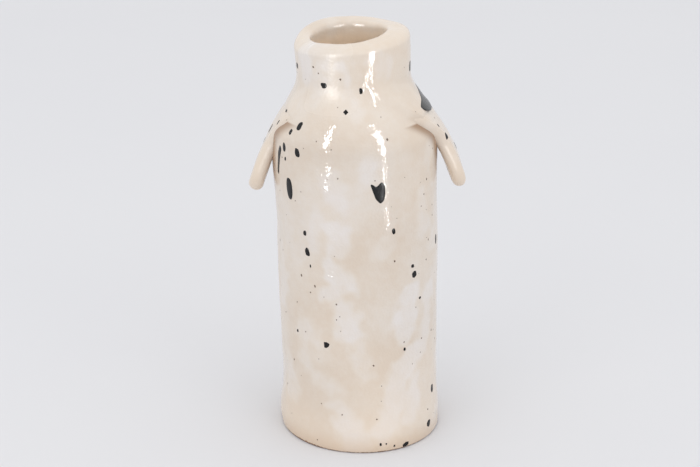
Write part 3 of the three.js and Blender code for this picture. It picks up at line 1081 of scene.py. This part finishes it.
def slipGrid(surface, outline):
    # A low cushion over the outline: a rounded top, and an underside sunk into the glaze
    top = np.array(slip["rings"])
    share = np.concatenate([top, top[::-1][1:]])
    lift = slip["lift"] * np.sqrt(1 - top ** slip["dome"])
    lift = np.concatenate([lift, np.full(len(top) - 1, -slip["depth"])])
    lift[len(top) - 1] = -slip["edgeDepth"]
    offset = share[:, None, None] * outline[None]
    return surface(offset[..., 0], offset[..., 1], lift[:, None] + 0 * offset[..., 0])


def onSkin(turn, z):
    # Millimetres to the right and up from a place on the skin, or over the flaps' roots high up
    radius, run = outerRadius(z), runAt(z)
    over = z > shoulderSeam + flap["meltBand"][0]
    return lambda dx, dz, lift: skinPoint(math.radians(turn) + dx / radius, run + dz, lift, over)


def onFlap(shape, along, y):
    # Millimetres across and up from a place on a flap's outer face
    return lambda dx, dz, lift: flapPoint(shape, along - dz, y + dx, 1, lift)


cushions = []
for number, (turn, z, width, height, lean, ragged) in enumerate(slipDabs):
    outline = dabOutline(width, height, lean, ragged, slip["seed"] + number)
    cushions.append(slipGrid(onSkin(turn, z), outline))
for corners in slipSplashes:
    (turn, z), outline = splashOutline(corners)
    cushions.append(slipGrid(onSkin(turn, z), outline))

# On the flaps' outer faces: flap, length along, across, width, height, lean
flapDabs = [
    ("wing_right", 34, -9.4, 1.7, 3.0, 0),
    ("wing_right", 28, -11.6, 1.0, 1.6, 0),
    ("wing_right", 44, 4, 1.4, 2.8, 8),
    ("wing_right", 26, 8, 1.6, 3.6, -6),
    ("wing_left", 20, 13, 1.0, 2.8, 0),
    ("wing_left", 27, 12, 0.9, 2.4, 0),
    ("wing_left", 33, 4, 1.8, 4.2, 6),
    ("wing_left", 42, -5, 1.2, 2.2, 0),
]
flapDabEdge = {"ragged": 0.1, "seed": 183}
for number, (name, along, y, width, height, lean) in enumerate(flapDabs):
    outline = dabOutline(width, height, lean, flapDabEdge["ragged"], flapDabEdge["seed"] + number)
    cushions.append(slipGrid(onFlap(flapSides[name], along, y), outline))


uvDisc = 0.46  # radius of a cushion's round patch in its square of the UV map


def islands(name, grids):
    # Many closed cushions of the same grid as one mesh: the columns close, both ends are poles
    points, faces, uvs = [], [[], []], [[], []]
    count = len(grids)
    rows, columns = grids[0].shape[:2]
    side = int(math.ceil(math.sqrt(count)))
    nextTo = np.roll(np.arange(columns), -1)
    ring = 1 + (np.arange(rows - 2)[:, None] * columns) + np.arange(columns)[None]
    last = 1 + (rows - 2) * columns
    quads = np.stack([ring[:-1], ring[:-1][:, nextTo], ring[1:][:, nextTo], ring[1:]], -1).reshape(-1, 4)
    first = np.stack([0 * ring[0], ring[0][nextTo], ring[0]], -1)
    final = np.stack([ring[-1], ring[-1][nextTo], 0 * ring[-1] + last], -1)
    triangles = np.concatenate([first, final])
    phi = np.linspace(0, 2 * math.pi, columns, endpoint=False)
    reach = np.linspace(0, uvDisc, rows)[1:-1, None]
    flat = np.stack([0.5 + reach * np.cos(phi), 0.5 + reach * np.sin(phi)], -1).reshape(-1, 2)
    flat = np.concatenate([[[0.5, 0.5]], flat, [[0.5 + uvDisc, 0.5]]])
    for number, grid in enumerate(grids):
        start = number * (last + 1)
        points += [grid[:1, 0], grid[1:-1].reshape(-1, 3), grid[-1:, 0]]
        corner = np.array([number % side, number // side])
        for kind, block in enumerate((quads, triangles)):
            faces[kind].append(block + start)
            uvs[kind].append((flat[block] + corner) / side)
    faces, uvs = [np.concatenate(f) for f in faces], [np.concatenate(u) for u in uvs]
    return addMesh(name, np.concatenate(points), faces, uvs)


# The two dark finishes: brushed and splashed slip, and specks of iron that bleed into the glaze
slipFinishes = {
    "blackSlip": {"dark": linear(4, 4, 6), "light": linear(16, 17, 19), "roughness": 0.2},
    "ironSpecks": {"dark": linear(92, 74, 60), "light": linear(140, 120, 102), "roughness": 0.4},
}
slipGrain = {"scale": 900, "depth": 0.00004, "strength": 0.7, "sheen": (0.8, 1.3), "ior": 1.38}


def slipMaterial(name):
    # Fired slip: two close shades clouded together, with a faintly uneven gloss
    finish = slipFinishes[name]
    material, tree = newMaterial(name)
    spot = addNode(tree, "TexCoord").outputs["Object"]
    clouds = {"Vector": spot, "Scale": slipGrain["scale"], "Detail": 3}
    cloud = addNode(tree, "TexNoise", clouds).outputs["Fac"]
    colour = colourMix(tree, cloud, finish["dark"], finish["light"])
    sheen = rescale(tree, cloud, noiseSpan, [finish["roughness"] * share for share in slipGrain["sheen"]])
    grain = addNode(
        tree, "Bump", {"Height": cloud, "Distance": slipGrain["depth"], "Strength": slipGrain["strength"]}
    )
    shader = addNode(
        tree, "BsdfPrincipled",
        {"Base Color": colour, "Roughness": sheen, "Normal": grain.outputs[0], "IOR": slipGrain["ior"]},
    )
    addNode(tree, "OutputMaterial", {"Surface": shader.outputs[0]})
    return material


finishPiece(islands("black_slip_marks", cushions), slipMaterial("blackSlip"), "black_slip")
print("made", len(cushions), "slip marks")

# Specks of iron in the glaze, in millimetres and degrees
specks = {
    "count": 190, "seed": 97, "small": 0.18, "large": 0.46, "lift": 0.03, "depth": 0.1, "sides": 8,
    "tall": 1.25, "uneven": (0.7, 1.2), "turns": (-180, 180), "heights": (3, 168),
}


def speckGrids():
    # Tiny eight-sided lenses scattered all over the outside
    random = np.random.default_rng(specks["seed"])
    phi = np.linspace(0, 2 * math.pi, specks["sides"], endpoint=False)
    circle = np.stack([np.cos(phi), specks["tall"] * np.sin(phi)], 1)
    grids = []
    for _ in range(specks["count"]):
        turn, z = random.uniform(*specks["turns"]), random.uniform(*specks["heights"])
        size = specks["small"] + (specks["large"] - specks["small"]) * random.uniform(0, 1) ** 2
        outline = size * circle * random.uniform(*specks["uneven"], (specks["sides"], 1))
        offset = np.array([0, 1, 0])[:, None, None] * outline[None]
        lift = np.array([specks["lift"], 0.0, -specks["depth"]])[:, None] + 0 * offset[..., 0]
        grids.append(onSkin(turn, z)(offset[..., 0], offset[..., 1], lift))
    return grids


finishPiece(islands("iron_specks", speckGrids()), slipMaterial("ironSpecks"), "black_slip")
print("made", specks["count"], "specks")

# The studio, in metres
studio = {
    "floorSize": 9.0,
    "floorColour": linear(226, 226, 228),
    "floorClouds": linear(223, 223, 226),
    "floorRoughness": 0.75,
    "floorSpecular": 0.1,
    "skyColour": (0.975, 0.98, 0.99, 1),
    "skyStrength": 0.96,
}
# Soft boxes, seen only in the soft light: where they stand, what they face, width and height, power
topBox = {"spot": (0, -0.45, 1.5), "target": (0, 0, 0.1), "size": (1.2, 1.2), "power": 2.1}
sideBoxes = {
    "turn": 38.0,  # degrees to each side of the camera
    "distance": 1.3, "height": 0.9, "target": (0, 0, 0.09), "size": (0.7, 0.9), "power": 1.15,
}
stripDistance = 0.29  # of the narrow lamps, from the middle of the vase
# Narrow lamps that draw the streaks of light: turn from the camera, foot and top in metres, width, power
# for each metre of height
strips = {
    "leftLow": {"turn": -38.0, "foot": 0.022, "top": 0.045, "width": 0.016, "power": 3.4},
    "leftHigh": {"turn": -38.0, "foot": 0.11, "top": 0.39, "width": 0.016, "power": 3.4},
    "right": {"turn": 38.0, "foot": 0.034, "top": 0.39, "width": 0.006, "power": 2.6},
}
camera = {
    "target": (-0.00433, -0.00045, 0.08574),
    "turn": -84.0,  # degrees round from the X axis
    "rise": 21.3,  # degrees above the floor
    "distance": 0.9282,
    "lens": 113.14,
    "sensor": 36,
}


def pointedAt(thing, target):
    # Turns a lamp or camera to look at a point
    direction = Vector(target) - thing.location
    thing.rotation_euler = direction.to_track_quat("-Z", "Y").to_euler()


def makeFloor():
    # A plain pale square, very faintly clouded
    half = studio["floorSize"] / 2
    mesh = bpy.data.meshes.new("floor")
    corners = [(-half, -half, 0), (half, -half, 0), (half, half, 0), (-half, half, 0)]
    mesh.from_pydata(corners, [], [(0, 1, 2, 3)])
    floor = bpy.data.objects.new("floor", mesh)
    scene.collection.objects.link(floor)
    material, tree = newMaterial("paleFloor")
    spot = addNode(tree, "TexCoord").outputs["Object"]
    cloud = addNode(tree, "TexNoise", {"Vector": spot, "Scale": 6, "Detail": 2}).outputs["Fac"]
    colour = colourMix(tree, cloud, studio["floorColour"], studio["floorClouds"])
    shader = addNode(
        tree, "BsdfPrincipled",
        {
            "Base Color": colour, "Roughness": studio["floorRoughness"],
            "Specular IOR Level": studio["floorSpecular"],
        },
    )
    addNode(tree, "OutputMaterial", {"Surface": shader.outputs[0]})
    mesh.materials.append(material)


def makeLight(name, spot, target, size, power, inGloss):
    # A rectangular lamp that shows either in the gloss or in the soft light, never to the camera
    data = bpy.data.lights.new(name, "AREA")
    data.shape = "RECTANGLE"
    data.size, data.size_y = size
    data.energy = power
    lamp = bpy.data.objects.new(name, data)
    scene.collection.objects.link(lamp)
    lamp.location = spot
    pointedAt(lamp, target)
    lamp.visible_camera = False
    lamp.visible_glossy = inGloss
    lamp.visible_diffuse = not inGloss


def makeStudio():
    # Lamps on circles round the vase, counted in degrees from the camera, under an even sky
    front = math.atan2(scene.camera.location.y, scene.camera.location.x)
    for name, strip in strips.items():
        a = front + math.radians(strip["turn"])
        long = strip["top"] - strip["foot"]
        spot = (stripDistance * math.cos(a), stripDistance * math.sin(a), strip["foot"] + long / 2)
        size, power = (strip["width"], long), strip["power"] * long
        makeLight(name + "Strip", spot, (0, 0, spot[2]), size, power, True)
    makeLight("topSoftbox", topBox["spot"], topBox["target"], topBox["size"], topBox["power"], False)
    for side, turn in (("left", -sideBoxes["turn"]), ("right", sideBoxes["turn"])):
        a = front + math.radians(turn)
        reach = sideBoxes["distance"]
        spot = (reach * math.cos(a), reach * math.sin(a), sideBoxes["height"])
        makeLight(side + "Softbox", spot, sideBoxes["target"], sideBoxes["size"], sideBoxes["power"], False)
    world = bpy.data.worlds.new("studio")
    scene.world = world
    world.use_nodes = True
    sky = world.node_tree.nodes["Background"]
    sky.inputs["Color"].default_value = studio["skyColour"]
    sky.inputs["Strength"].default_value = studio["skyStrength"]
    scene.view_settings.view_transform = "Standard"


def makeCamera():
    # A long lens on a sphere round its target
    data = bpy.data.cameras.new("camera")
    data.lens = camera["lens"]
    data.sensor_width = camera["sensor"]
    thing = bpy.data.objects.new("camera", data)
    scene.collection.objects.link(thing)
    turn, rise = math.radians(camera["turn"]), math.radians(camera["rise"])
    away = Vector((math.cos(rise) * math.cos(turn), math.cos(rise) * math.sin(turn), math.sin(rise)))
    thing.location = Vector(camera["target"]) + camera["distance"] * away
    pointedAt(thing, camera["target"])
    scene.camera = thing


makeCamera()
makeFloor()
makeStudio()
print("camera, floor and light set")
